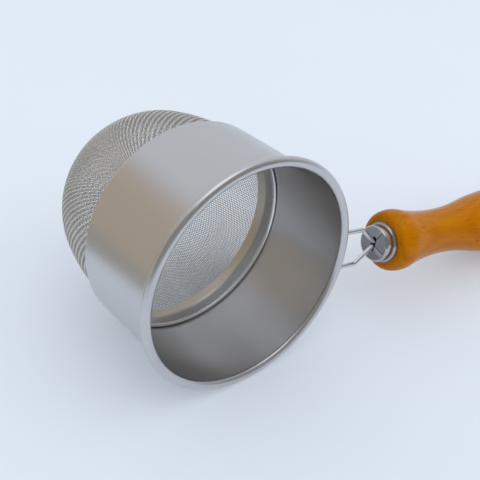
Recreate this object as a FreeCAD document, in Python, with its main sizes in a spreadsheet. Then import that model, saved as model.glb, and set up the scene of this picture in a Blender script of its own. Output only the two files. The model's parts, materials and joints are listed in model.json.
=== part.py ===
import FreeCAD, Part
import math
import os

import Sketcher
from FreeCAD import Placement, Rotation, Vector

# A wood-handled flour sifter that lies on its side, ready to hand.
#
# Two working frames are used.  The drum frame has its origin at the middle of the
# mouth, +Z down the drum's axis into the bowl and +X towards the handle.  The handle
# frame starts on the drum's wall, with +X along the handle.  Both are turned into the
# row frame (+Z up, +X along the handle, mouth towards -Y) by lying_placement().

SIZES = (
    # drum: one sheet, curled outwards over a wire at the mouth, turned in at the foot
    ("drum_radius", 45.0),
    ("drum_height", 46.5),
    ("wall", 0.6),
    ("rim_bead_radius", 2.0),
    ("rim_curl_angle", 125.0),
    ("rim_wire_gap", 0.05),
    ("foot_bend_radius", 1.2),
    ("foot_gap", 0.15),
    # woven bowl, as the space between its two wire faces
    ("bowl_depth", 56.2),
    ("bowl_inset", 1.65),
    ("bowl_side_radius", 100.0),
    ("bowl_straight", 0.5),
    ("cloth", 0.6),
    # clamp ring inside the foot of the drum
    ("ring_depth", 41.0),
    ("ring_sheet", 0.5),
    ("ring_bead_radius", 0.75),
    ("ring_wall_gap", 0.15),
    ("ring_neck", 4.2),
    ("ring_band", 4.3),
    ("ring_taper", 0.3),
    ("ring_bend_radius", 4.0),
    ("ring_cloth_gap", 0.1),
    ("skirt_start", 0.35),
    # wire bracket
    ("wire_radius", 1.0),
    ("leg_spread", 8.05),
    ("leg_rim_gap", 0.5),
    ("leg_reach", 15.6),
    ("leg_weld_length", 13.0),
    ("weld_sink", 0.3),
    ("wire_bend_radius", 2.2),
    ("tang_gap", 0.3),
    ("tang_length", 32.0),
    # chromed cap between the bracket and the handle
    ("cap_front", 24.3),
    ("cap_depth", 5.5),
    ("cap_radius", 7.9),
    ("cap_brim_radius", 8.9),
    ("cap_sheet", 0.6),
    ("cap_round", 1.1),
    ("cap_flare", 0.7),
    ("slot_length", 6.8),
    ("slot_gap", 0.2),
    # turned wooden handle, stations measured from its front face
    ("handle_length", 128.0),
    ("handle_tilt", 2.5),
    ("nose_round", 4.0),
    ("bulb_station", 6.5),
    ("bulb_radius", 13.45),
    ("bulb_round", 13.0),
    ("waist_station", 34.0),
    ("waist_radius", 10.1),
    ("belly_station", 84.0),
    ("belly_radius", 15.2),
    ("butt_round", 8.0),
    ("bore_gap", 0.25),
    ("bore_end_gap", 1.5),
    ("adhesive_gap", 0.02),
    ("hang_hole_radius", 2.5),
    ("hang_hole_margin", 11.0),
)

# Values that follow from the driving sizes, in the order in which they are needed.
FITS = (
    ("wall_inner", "Sizes.drum_radius - Sizes.wall"),
    ("bead_centre", "wall_inner + Sizes.rim_bead_radius"),
    ("curl_inner", "Sizes.rim_bead_radius - Sizes.wall"),
    ("curl_across", "cos(Sizes.rim_curl_angle * 1 deg)"),
    ("curl_down", "sin(Sizes.rim_curl_angle * 1 deg)"),
    ("rim_radius", "bead_centre + Sizes.rim_bead_radius"),
    ("rim_wire_radius", "curl_inner - Sizes.rim_wire_gap"),
    ("bowl_radius", "wall_inner - Sizes.bowl_inset"),
    ("bowl_inner", "bowl_radius - Sizes.cloth"),
    ("bowl_bottom", "Sizes.drum_height + Sizes.bowl_depth"),
    ("dome_start", "Sizes.drum_height + Sizes.bowl_straight"),
    ("side_centre", "bowl_radius - Sizes.bowl_side_radius"),
    ("dome_height", "bowl_bottom - dome_start"),
    ("crown_radius", "(side_centre ^ 2 + dome_height ^ 2 - Sizes.bowl_side_radius ^ 2)"
                     " / (2 * (dome_height - Sizes.bowl_side_radius))"),
    ("crown_centre", "bowl_bottom - crown_radius"),
    ("outer_share", "Sizes.bowl_side_radius / (Sizes.bowl_side_radius - crown_radius)"),
    ("inner_share", "(Sizes.bowl_side_radius - Sizes.cloth)"
                    " / (Sizes.bowl_side_radius - crown_radius)"),
    ("ring_bead_centre", "wall_inner - Sizes.ring_wall_gap - Sizes.ring_bead_radius"),
    ("ring_half", "Sizes.ring_sheet / 2"),
    ("ring_top", "Sizes.ring_depth + sqrt(Sizes.ring_bead_radius ^ 2 - ring_half ^ 2)"),
    ("ring_knee", "Sizes.ring_depth + Sizes.ring_neck"),
    ("ring_end", "ring_knee + Sizes.ring_band"),
    ("band_outer", "bowl_inner - Sizes.ring_cloth_gap"),
    ("neck_lean", "(ring_bead_centre + ring_half - band_outer) / (ring_knee - ring_top)"),
    ("band_lean", "Sizes.ring_taper / Sizes.ring_band"),
    ("knee_setback", "tan((atan(neck_lean) - atan(band_lean)) / 2)"),
    ("skirt_top", "Sizes.ring_depth + Sizes.ring_bead_radius + Sizes.skirt_start"),
    ("skirt_inner", "ring_bead_centre + ring_half + Sizes.ring_cloth_gap"
                    " - (ring_bead_centre + ring_half - band_outer)"
                    " * (skirt_top - ring_top) / (ring_knee - ring_top)"),
    ("leg_drop", "2 * Sizes.rim_bead_radius + Sizes.leg_rim_gap + Sizes.wire_radius"),
    ("tang_half", "Sizes.wire_radius + Sizes.tang_gap / 2"),
    ("bore_radius", "tang_half + Sizes.wire_radius + Sizes.bore_gap"),
    ("slot_width", "2 * (Sizes.wire_radius + Sizes.slot_gap)"),
    ("cap_back", "Sizes.cap_front + Sizes.cap_depth"),
    ("bulb_centre", "Sizes.bulb_radius - Sizes.bulb_round"),
    ("nose_centre", "bulb_centre + sqrt((Sizes.bulb_round - Sizes.nose_round) ^ 2"
                    " - (Sizes.bulb_station - Sizes.nose_round) ^ 2)"),
    ("nose_share", "Sizes.bulb_round / (Sizes.bulb_round - Sizes.nose_round)"),
    ("front_drop", "Sizes.bulb_radius - Sizes.waist_radius"),
    ("waist_round", "((Sizes.waist_station - Sizes.bulb_station) ^ 2 + front_drop ^ 2)"
                    " / (2 * front_drop) - Sizes.bulb_round"),
    ("waist_centre", "Sizes.waist_radius + waist_round"),
    ("front_share", "Sizes.bulb_round / (Sizes.bulb_round + waist_round)"),
    ("rear_rise", "Sizes.belly_radius - Sizes.waist_radius"),
    ("belly_round", "((Sizes.belly_station - Sizes.waist_station) ^ 2 + rear_rise ^ 2)"
                    " / (2 * rear_rise) - waist_round"),
    ("belly_centre", "Sizes.belly_radius - belly_round"),
    ("rear_share", "waist_round / (waist_round + belly_round)"),
    ("butt_station", "Sizes.handle_length - Sizes.butt_round"),
    ("butt_centre", "belly_centre + sqrt((belly_round - Sizes.butt_round) ^ 2"
                    " - (butt_station - Sizes.belly_station) ^ 2)"),
    ("butt_share", "belly_round / (belly_round - Sizes.butt_round)"),
    ("butt_slope", "(butt_station - Sizes.belly_station)"
                   " / (belly_round - Sizes.butt_round)"),
    ("bore_depth", "Sizes.tang_length + tang_half + Sizes.wire_radius"
                   " + Sizes.bore_end_gap"),
)

LEFT = 1
RIGHT = -1

doc = FreeCAD.newDocument("flour_sifter")


def make_sheet():
    """The driving dimensions, one alias per cell, in millimetres and degrees."""
    sheet = doc.addObject("Spreadsheet::Sheet", "Sizes")
    for row, (name, value) in enumerate(SIZES, start=1):
        sheet.set(f"A{row}", name)
        sheet.set(f"B{row}", str(value))
        sheet.setAlias(f"B{row}", name)
    doc.recompute()
    return sheet


def make_fits():
    """The values that follow from the sheet, each bound by its formula."""
    fits = doc.addObject("App::VarSet", "Fits")
    for name, formula in FITS:
        fits.addProperty("App::PropertyFloat", name, "Fits")
        fits.setExpression(name, formula)
    doc.recompute()
    return fits


sizes = make_sheet()
fits = make_fits()


def between(first, second, share):
    """The point that lies a share of the way from the first point to the second."""
    return tuple(f"{a} + ({b} - ({a})) * {share}" for a, b in zip(first, second))


def arc_centre(start, end, radius, side, large):
    """The centre of the arc that leaves start with its centre to one side."""
    chord = end - start
    height = math.sqrt(max(radius ** 2 - chord.Length ** 2 / 4, 0.0))
    across = Vector(-chord.y, chord.x, 0).normalize()
    return (start + end) / 2 + across * height * side * (-1 if large else 1)


def draw_edge(sketch, start, end, arc):
    """Add one line or arc; returns its number and which ends start and stop it."""
    if arc is None:
        return sketch.addGeometry(Part.LineSegment(start, end), False), 1, 2
    radius = sketch.evalExpression(arc["radius"])
    centre = arc_centre(start, end, radius, arc["side"], arc["large"])
    angles = [math.atan2(p.y - centre.y, p.x - centre.x) for p in (start, end)]
    if arc["side"] == RIGHT:
        angles.reverse()
    if angles[1] < angles[0]:
        angles[1] += 2 * math.pi
    circle = Part.Circle(centre, Vector(0, 0, 1), radius)
    number = sketch.addGeometry(Part.ArcOfCircle(circle, *angles), False)
    if arc["side"] == RIGHT:
        return number, 2, 1
    return number, 1, 2


def bind(sketch, constraint, formula):
    """Add a measured constraint and bind its value to a formula."""
    index = sketch.addConstraint(constraint)
    sketch.setExpression(f"Constraints[{index}]", formula)


def pin_corner(sketch, number, end, x, y):
    """Hold one end of an edge at a place given by two formulas."""
    for kind, axis, formula in (("DistanceX", -2, x), ("DistanceY", -1, y)):
        if formula == "0":
            sketch.addConstraint(Sketcher.Constraint("PointOnObject", number, end, axis))
        else:
            value = sketch.evalExpression(formula)
            bind(sketch, Sketcher.Constraint(kind, -1, 1, number, end, value), formula)


def hold_arc(sketch, number, corner):
    """Fix an arc by its radius or, on an upright half circle, by its centre's x."""
    x, _, bend = corner
    if bend["half"]:
        value = sketch.evalExpression(x)
        bind(sketch, Sketcher.Constraint("DistanceX", -1, 1, number, 3, value), x)
    else:
        value = sketch.evalExpression(bend["radius"])
        bind(sketch, Sketcher.Constraint("Radius", number, value), bend["radius"])


def outline(body, name, plane, corners):
    """A closed, fully bound sketch on one of the body's own origin planes.

    Each corner is (x formula, y formula) or the same with the arc that leaves it.
    """
    sketch = body.newObject("Sketcher::SketchObject", name)
    support = next(f for f in body.Origin.OriginFeatures if f.Role == plane)
    sketch.AttachmentSupport = (support, "")
    sketch.MapMode = "FlatFace"
    places = [Vector(sketch.evalExpression(c[0]), sketch.evalExpression(c[1]), 0)
              for c in corners]
    edges = []
    for index, corner in enumerate(corners):
        arc = corner[2] if len(corner) > 2 else None
        following = places[(index + 1) % len(places)]
        edges.append(draw_edge(sketch, places[index], following, arc))
    for index, (number, begin, finish) in enumerate(edges):
        following = edges[(index + 1) % len(edges)]
        sketch.addConstraint(Sketcher.Constraint(
            "Coincident", number, finish, following[0], following[1]))
        pin_corner(sketch, number, begin, *corners[index][:2])
        if len(corners[index]) > 2:
            hold_arc(sketch, number, corners[index])
    return sketch


def body_named(name):
    """A new PartDesign body whose label is its node's name."""
    body = doc.addObject("PartDesign::Body", name)
    body.Label = name
    return body


def turned(body, corners, plane, axis):
    """Revolve a closed outline about one of its sketch axes."""
    sketch = outline(body, body.Name + "_outline", plane, corners)
    turn = body.newObject("PartDesign::Revolution", body.Name + "_turn")
    turn.Profile = sketch
    turn.ReferenceAxis = (sketch, [axis])
    turn.Angle = 360
    doc.recompute()
    return turn


def cut_through(body, sketch, name):
    """Cut a sketch right through its body, both ways, and check that it removed wood."""
    before = body.Shape.Volume
    pocket = body.newObject("PartDesign::Pocket", name)
    pocket.Profile = sketch
    pocket.Type = "ThroughAll"
    pocket.SideType = "Symmetric"
    doc.recompute()
    if body.Shape.Volume >= before:
        raise RuntimeError(f"{name} removed nothing from {body.Name}")


def arc(radius, side, large=False, half=False):
    """How an edge bends: its radius formula, its centre's side and its sweep."""
    return {"radius": radius, "side": side, "large": large, "half": half}


def make_drum():
    """The sheet drum: curled mouth, straight wall and turned-in foot."""
    bead = "Sizes.rim_bead_radius"
    foot_line = "Sizes.drum_height - Sizes.foot_bend_radius"
    foot_corner = "Sizes.drum_radius - Sizes.foot_bend_radius"
    lip_edge = "Fits.bowl_radius + Sizes.foot_gap"
    lip_top = "Sizes.drum_height - Sizes.wall"
    corners = (
        ("Fits.wall_inner", bead, arc(bead, LEFT, large=True)),
        (f"Fits.bead_centre + {bead} * Fits.curl_across", f"{bead} + {bead} * Fits.curl_down"),
        ("Fits.bead_centre + Fits.curl_inner * Fits.curl_across",
         f"{bead} + Fits.curl_inner * Fits.curl_down",
         arc("Fits.curl_inner", RIGHT, large=True)),
        ("Sizes.drum_radius", bead),
        ("Sizes.drum_radius", foot_line, arc("Sizes.foot_bend_radius", LEFT)),
        (foot_corner, "Sizes.drum_height"),
        (lip_edge, "Sizes.drum_height"),
        (lip_edge, lip_top),
        (foot_corner, lip_top, arc("Sizes.foot_bend_radius - Sizes.wall", RIGHT)),
        ("Fits.wall_inner", foot_line),
    )
    body = body_named("drum")
    turned(body, corners, "XZ_Plane", "V_Axis")
    return body


def make_rim_wire():
    """The wire that the mouth's edge is curled over."""
    wire = doc.addObject("Part::Torus", "rim_wire")
    wire.Label = "rim_wire"
    wire.setExpression("Radius1", "Fits.bead_centre")
    wire.setExpression("Radius2", "Fits.rim_wire_radius")
    return wire


def knee(edge, radius, side, upward=False):
    """The two ends of the ring's rounded bend, where one face's straight parts would meet."""
    setback = f"({radius}) * Fits.knee_setback"
    above = (f"{edge} + {setback} * sin(atan(Fits.neck_lean))",
             f"Fits.ring_knee - {setback} * cos(atan(Fits.neck_lean))")
    below = (f"{edge} - {setback} * sin(atan(Fits.band_lean))",
             f"Fits.ring_knee + {setback} * cos(atan(Fits.band_lean))")
    first, last = (below, above) if upward else (above, below)
    return (*first, arc(radius, side)), last


def make_clamp_ring():
    """The beaded ring that holds the cloth's edge against the drum."""
    corners = (
        ("Fits.ring_bead_centre + Fits.ring_half", "Fits.ring_top"),
        *knee("Fits.band_outer", "Sizes.ring_bend_radius - Sizes.ring_sheet", RIGHT),
        ("Fits.band_outer - Sizes.ring_taper", "Fits.ring_end"),
        ("Fits.band_outer - Sizes.ring_taper - Sizes.ring_sheet", "Fits.ring_end"),
        *knee("Fits.band_outer - Sizes.ring_sheet", "Sizes.ring_bend_radius", LEFT,
              upward=True),
        ("Fits.ring_bead_centre - Fits.ring_half", "Fits.ring_top",
         arc("Sizes.ring_bead_radius", LEFT, large=True)),
    )
    body = body_named("clamp_ring")
    turned(body, corners, "XZ_Plane", "V_Axis")
    return body


def make_mesh_bowl():
    """The woven cloth: its skirt under the ring, a tapering side and a round crown."""
    side_centre = ("Fits.side_centre", "Fits.dome_start")
    crown_centre = ("0", "Fits.crown_centre")
    outer_join = between(side_centre, crown_centre, "Fits.outer_share")
    inner_join = between(side_centre, crown_centre, "Fits.inner_share")
    corners = (
        ("Fits.skirt_inner + Sizes.cloth", "Fits.skirt_top"),
        ("Fits.bowl_radius", "Fits.ring_knee"),
        ("Fits.bowl_radius", "Fits.dome_start", arc("Sizes.bowl_side_radius", LEFT)),
        (*outer_join, arc("Fits.crown_radius", LEFT)),
        ("0", "Fits.bowl_bottom"),
        ("0", "Fits.bowl_bottom - Sizes.cloth", arc("Fits.crown_radius - Sizes.cloth", RIGHT)),
        (*inner_join, arc("Sizes.bowl_side_radius - Sizes.cloth", RIGHT)),
        ("Fits.bowl_inner", "Fits.dome_start"),
        ("Fits.bowl_inner", "Fits.ring_knee"),
        ("Fits.skirt_inner", "Fits.skirt_top"),
    )
    body = body_named("mesh_bowl")
    turned(body, corners, "XZ_Plane", "V_Axis")
    return body


def rounded_path(points, radii):
    """Straight runs through the points, joined by tangent arcs of the given radii."""
    edges = []
    start = points[0]
    for before, corner, after, radius in zip(points, points[1:], points[2:], radii):
        into = (corner - before).normalize()
        out = (after - corner).normalize()
        turn = into.getAngle(out)
        setback = radius * math.tan(turn / 2)
        first = corner - into * setback
        last = corner + out * setback
        inward = (out - into).normalize()
        middle = corner + inward * (radius / math.cos(turn / 2) - radius)
        edges.append(Part.LineSegment(start, first).toShape())
        edges.append(Part.Arc(first, middle, last).toShape())
        start = last
    edges.append(Part.LineSegment(start, points[-1]).toShape())
    return edges


def bracket_leg(side):
    """One leg's path in the drum frame, from its welded foot to the end of its tang."""
    spread = sizes.leg_spread * side
    seat = sizes.drum_radius + sizes.wire_radius - sizes.weld_sink
    foot_x = math.sqrt(seat ** 2 - spread ** 2)
    foot = Vector(foot_x, spread, fits.leg_drop + sizes.leg_weld_length)
    shoulder = Vector(foot_x, spread, fits.leg_drop)
    elbow = handle_frame().multVec(Vector(sizes.leg_reach, spread, 0))
    pinch = handle_frame().multVec(Vector(sizes.cap_front, fits.tang_half * side, 0))
    tip = handle_frame().multVec(
        Vector(fits.cap_back + sizes.tang_length, fits.tang_half * side, 0))
    bends = [sizes.wire_bend_radius] * 3
    return rounded_path([foot, shoulder, elbow, pinch, tip], bends)


def make_bracket():
    """The hairpin wire: two welded feet, two legs, and a tang that turns back on itself."""
    right = bracket_leg(1)
    left = bracket_leg(-1)
    loop_top = handle_frame().multVec(
        Vector(fits.cap_back + sizes.tang_length + fits.tang_half, 0, 0))
    tips = [right[-1].Vertexes[-1].Point, left[-1].Vertexes[-1].Point]
    loop = Part.Arc(tips[0], loop_top, tips[1]).toShape()
    path = Part.Wire(Part.__sortEdges__([*right, loop, *left]))
    foot = right[0].Vertexes[0].Point
    section = Part.Wire(Part.makeCircle(sizes.wire_radius, foot, Vector(0, 0, 1)))
    wire = path.makePipeShell([section], True, False, 2)
    expected = path.Length * math.pi * sizes.wire_radius ** 2
    print(f"bracket wire: volume {wire.Volume:.1f}, section times length {expected:.1f}")
    inside = Part.makeCylinder(sizes.drum_radius, sizes.drum_height)
    feature = doc.addObject("Part::Feature", "bracket_wire")
    feature.Label = "bracket_wire"
    feature.Shape = wire.cut(inside)
    return feature


def make_cap():
    """The chromed cap: a pressed cup with a brim and a slot for the two wires."""
    inner_side = "Sizes.cap_radius - Sizes.cap_sheet"
    inner_front = "Sizes.cap_front + Sizes.cap_sheet"
    round_start = "Sizes.cap_front + Sizes.cap_round"
    face_edge = "Sizes.cap_radius - Sizes.cap_round"
    brim_front = "Fits.cap_back - Sizes.cap_sheet"
    corners = (
        (inner_front, "0"),
        (inner_front, face_edge, arc("Sizes.cap_round - Sizes.cap_sheet", RIGHT)),
        (round_start, inner_side),
        ("Fits.cap_back", inner_side),
        ("Fits.cap_back", "Sizes.cap_brim_radius"),
        (brim_front, "Sizes.cap_brim_radius"),
        (brim_front, "Sizes.cap_radius + Sizes.cap_flare",
         arc("Sizes.cap_flare", RIGHT)),
        (f"{brim_front} - Sizes.cap_flare", "Sizes.cap_radius"),
        (round_start, "Sizes.cap_radius", arc("Sizes.cap_round", LEFT)),
        ("Sizes.cap_front", face_edge),
        ("Sizes.cap_front", "0"),
    )
    body = body_named("ferrule_cap")
    turned(body, corners, "XY_Plane", "H_Axis")
    reach = "(Sizes.slot_length - Fits.slot_width) / 2"
    half = "Fits.slot_width / 2"
    slot = outline(body, "cap_slot", "YZ_Plane", (
        (f"-{reach}", f"-{half}"),
        (reach, f"-{half}", arc(half, LEFT, half=True)),
        (reach, half),
        (f"-{reach}", half, arc(half, LEFT, half=True)),
    ))
    cut_through(body, slot, "cap_slot_cut")
    return body


def make_handle():
    """The turned handle: bulb, waist, belly and butt, bored for the tang."""
    start = "Fits.cap_back"
    nose = (f"{start} + Sizes.nose_round", "Fits.nose_centre")
    bulb = (f"{start} + Sizes.bulb_station", "Fits.bulb_centre")
    waist = (f"{start} + Sizes.waist_station", "Fits.waist_centre")
    belly = (f"{start} + Sizes.belly_station", "Fits.belly_centre")
    butt = (f"{start} + Fits.butt_station", "Fits.butt_centre")
    corners = (
        (start, "Fits.bore_radius"),
        (start, "Fits.nose_centre", arc("Sizes.nose_round", RIGHT)),
        (*between(bulb, nose, "Fits.nose_share"), arc("Sizes.bulb_round", RIGHT)),
        (*between(bulb, waist, "Fits.front_share"), arc("Fits.waist_round", LEFT)),
        (*between(waist, belly, "Fits.rear_share"), arc("Fits.belly_round", RIGHT)),
        (*between(belly, butt, "Fits.butt_share"), arc("Sizes.butt_round", RIGHT)),
        (f"{start} + Sizes.handle_length", "Fits.butt_centre"),
        (f"{start} + Sizes.handle_length", "0"),
        (f"{start} + Fits.bore_depth", "0"),
        (f"{start} + Fits.bore_depth", "Fits.bore_radius"),
    )
    body = body_named("handle")
    turned(body, corners, "XY_Plane", "H_Axis")
    hole = body.newObject("Sketcher::SketchObject", "hang_hole")
    support = next(f for f in body.Origin.OriginFeatures if f.Role == "XY_Plane")
    hole.AttachmentSupport = (support, "")
    hole.MapMode = "FlatFace"
    station = f"{start} + Sizes.handle_length - Sizes.hang_hole_margin"
    place = Vector(hole.evalExpression(station), 0, 0)
    circle = Part.Circle(place, Vector(0, 0, 1), sizes.hang_hole_radius)
    number = hole.addGeometry(circle, False)
    pin_corner(hole, number, 3, station, "0")
    bind(hole, Sketcher.Constraint("Radius", number, sizes.hang_hole_radius),
         "Sizes.hang_hole_radius")
    cut_through(body, hole, "hang_hole_cut")
    return body


def bore_place():
    """Where the handle's bore starts, with +Z into the wood, in the drum frame."""
    into_wood = Placement(Vector(fits.cap_back, 0, 0), Rotation(Vector(0, 1, 0), 90))
    return handle_frame().multiply(into_wood)


def make_adhesive(bracket):
    """The cured filling of the bore round the tang; returns it and the plug it is cut from."""
    plug = doc.addObject("Part::Cylinder", "bore_filling")
    plug.setExpression("Radius", "Fits.bore_radius - Sizes.adhesive_gap")
    plug.setExpression("Height", "Fits.bore_depth - Sizes.adhesive_gap")
    filling = doc.addObject("Part::Cut", "tang_adhesive")
    filling.Label = "tang_adhesive"
    filling.Base = plug
    filling.Tool = bracket
    return filling, plug


def handle_frame():
    """Where the handle's axis starts on the drum's wall, in the drum frame."""
    start = Vector(sizes.drum_radius, 0, fits.leg_drop)
    return Placement(start, Rotation(Vector(0, 1, 0), sizes.handle_tilt))


def table_normal(angle):
    """The downward direction in the drum frame when the drum lies at an angle.

    The table touches the rolled rim and the turned-in foot, so the drum's axis leans
    by the difference of their radii.
    """
    run = sizes.drum_height - sizes.foot_bend_radius - sizes.rim_bead_radius
    lean = (fits.rim_radius - sizes.drum_radius) / math.hypot(
        fits.rim_radius - sizes.drum_radius, run)
    level = math.sqrt(1 - lean ** 2)
    return Vector(math.cos(angle) * level, math.sin(angle) * level, lean)


def handle_gap(angle):
    """How far the handle stays above the table when the drum lies at an angle.

    The handle touches down on its belly, or on its rounded butt if it slopes more than
    the belly does where the two meet.
    """
    down = table_normal(angle)
    rim = Vector(math.cos(angle) * fits.rim_radius, math.sin(angle) * fits.rim_radius,
                 sizes.rim_bead_radius)
    along = handle_frame().Rotation.multVec(Vector(1, 0, 0))
    slope = down.dot(along)
    if slope < fits.butt_slope:
        station, centre, round_radius = sizes.belly_station, fits.belly_centre, fits.belly_round
    else:
        station, centre, round_radius = fits.butt_station, fits.butt_centre, sizes.butt_round
    middle = handle_frame().multVec(Vector(fits.cap_back + station, 0, 0))
    reach = centre * math.sqrt(1 - slope ** 2) + round_radius + down.dot(middle)
    return down.dot(rim) - reach


def lying_rotation():
    """The turn from the drum frame to the row frame, with rim, foot and handle at rest."""
    low = math.radians(60)
    high = math.radians(90)
    while high - low > 1e-9:
        middle = (low + high) / 2
        if handle_gap(middle) > 0:
            high = middle
        else:
            low = middle
    up = -table_normal(low)
    along = handle_frame().Rotation.multVec(Vector(1, 0, 0))
    ahead = (along - up * along.dot(up)).normalize()
    left = up.cross(ahead)
    return Rotation(ahead, left, up, "ZXY").inverted()


def lying_placement(nodes):
    """The row frame's placement: origin at the bottom centre of the whole box."""
    turn = Placement(Vector(), lying_rotation())
    whole = Part.makeCompound([n.Shape for n in nodes])
    box = whole.transformed(turn.toMatrix()).optimalBoundingBox(False)
    base = Vector(-(box.XMin + box.XMax) / 2, -(box.YMin + box.YMax) / 2, -box.ZMin)
    return Placement(base, turn.Rotation)


def print_mounts(lie):
    """Print where the interfaces lie in the row frame, for the part's record."""
    hole_x = fits.cap_back + sizes.handle_length - sizes.hang_hole_margin
    grip_x = fits.cap_back + sizes.belly_station
    handle = lie.multiply(handle_frame())
    places = (
        ("mouth", lie, Vector()),
        ("hang_hole", handle, Vector(hole_x, 0, 0)),
        ("grip", handle, Vector(grip_x, 0, 0)),
    )
    for name, frame, point in places:
        spot = frame.multVec(point)
        axis = frame.Rotation.multVec(Vector(0, 0, -1))
        print(name, [round(v, 4) for v in spot], [round(v, 6) for v in axis])
    print("along", [round(v, 6) for v in handle.Rotation.multVec(Vector(1, 0, 0))])


def check_objects():
    """Stop if any object failed to build or any node's shape is not sound."""
    for item in doc.Objects:
        if "Invalid" in item.State or "Error" in item.State:
            raise RuntimeError(f"{item.Name} did not build: {item.State}")


def check_and_write(nodes):
    """Write one STEP file for each sound node."""
    check_objects()
    for node in nodes:
        if node.Shape.isNull() or not node.Shape.isValid():
            raise RuntimeError(f"{node.Label} has no sound shape")
    os.makedirs("parts", exist_ok=True)
    for node in nodes:
        node.Shape.exportStep(f"parts/{node.Label}.step")
        print(f"{node.Label}: {node.Shape.Volume:.1f} mm3, {len(node.Shape.Solids)} solid")


def main():
    """Build every node, lay the sifter down and write the files."""
    drum = make_drum()
    rim_wire = make_rim_wire()
    clamp_ring = make_clamp_ring()
    mesh_bowl = make_mesh_bowl()
    bracket = make_bracket()
    cap = make_cap()
    handle = make_handle()
    adhesive, plug = make_adhesive(bracket)
    local = {
        drum: Placement(),
        rim_wire: Placement(Vector(0, 0, sizes.rim_bead_radius), Rotation()),
        clamp_ring: Placement(),
        mesh_bowl: Placement(),
        bracket: Placement(),
        cap: handle_frame(),
        handle: handle_frame(),
        plug: bore_place(),
    }
    nodes = [drum, rim_wire, clamp_ring, mesh_bowl, bracket, adhesive, cap, handle]
    for piece, place in local.items():
        piece.Placement = place
    doc.recompute()
    check_objects()
    lie = lying_placement(nodes)
    for piece, place in local.items():
        piece.Placement = lie.multiply(place)
    doc.recompute()
    check_and_write(nodes)
    print_mounts(lie)


main()
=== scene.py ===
"""Looks for a wood-handled flour sifter that lies on its side on a pale table.

The drum, clamp ring, bracket, cap and handle are shown as the CAD frame holds them, each
in its own finish.  The bowl's closed CAD shell is replaced by the woven cloth that it
stands for: two sets of round wires that go over and under each other on a cloth net
pressed over the dome.  The frame gives the bowl's place.  Its sizes are repeated in
BowlSurface, since the frame holds only the shell.
"""

import json
import logging
import math
from dataclasses import dataclass, field
from enum import Enum

import bpy
import numpy as np
from mathutils import Matrix, Vector

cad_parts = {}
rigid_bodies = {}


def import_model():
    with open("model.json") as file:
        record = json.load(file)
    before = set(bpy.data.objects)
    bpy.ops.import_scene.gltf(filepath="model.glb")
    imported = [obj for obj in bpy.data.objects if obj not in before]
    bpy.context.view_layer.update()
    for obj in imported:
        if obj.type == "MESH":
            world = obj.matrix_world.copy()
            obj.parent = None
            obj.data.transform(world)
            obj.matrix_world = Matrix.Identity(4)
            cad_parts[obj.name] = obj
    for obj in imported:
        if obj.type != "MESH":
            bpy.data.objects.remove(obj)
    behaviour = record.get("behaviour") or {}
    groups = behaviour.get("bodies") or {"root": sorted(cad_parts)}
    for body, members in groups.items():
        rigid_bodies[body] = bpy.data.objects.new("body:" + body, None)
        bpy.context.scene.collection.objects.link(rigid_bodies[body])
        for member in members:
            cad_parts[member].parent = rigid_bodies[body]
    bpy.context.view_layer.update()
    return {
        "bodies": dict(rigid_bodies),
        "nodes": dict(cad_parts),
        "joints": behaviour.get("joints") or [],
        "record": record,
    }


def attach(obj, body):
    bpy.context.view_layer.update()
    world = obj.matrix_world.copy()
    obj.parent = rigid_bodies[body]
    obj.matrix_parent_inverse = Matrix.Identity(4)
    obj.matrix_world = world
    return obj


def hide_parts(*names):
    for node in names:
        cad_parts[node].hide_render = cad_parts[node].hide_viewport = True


MM = 0.001

Colour = tuple[float, float, float]

log = logging.getLogger("flour_sifter")


# ---------------------------------------------------------------- shader building blocks


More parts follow.
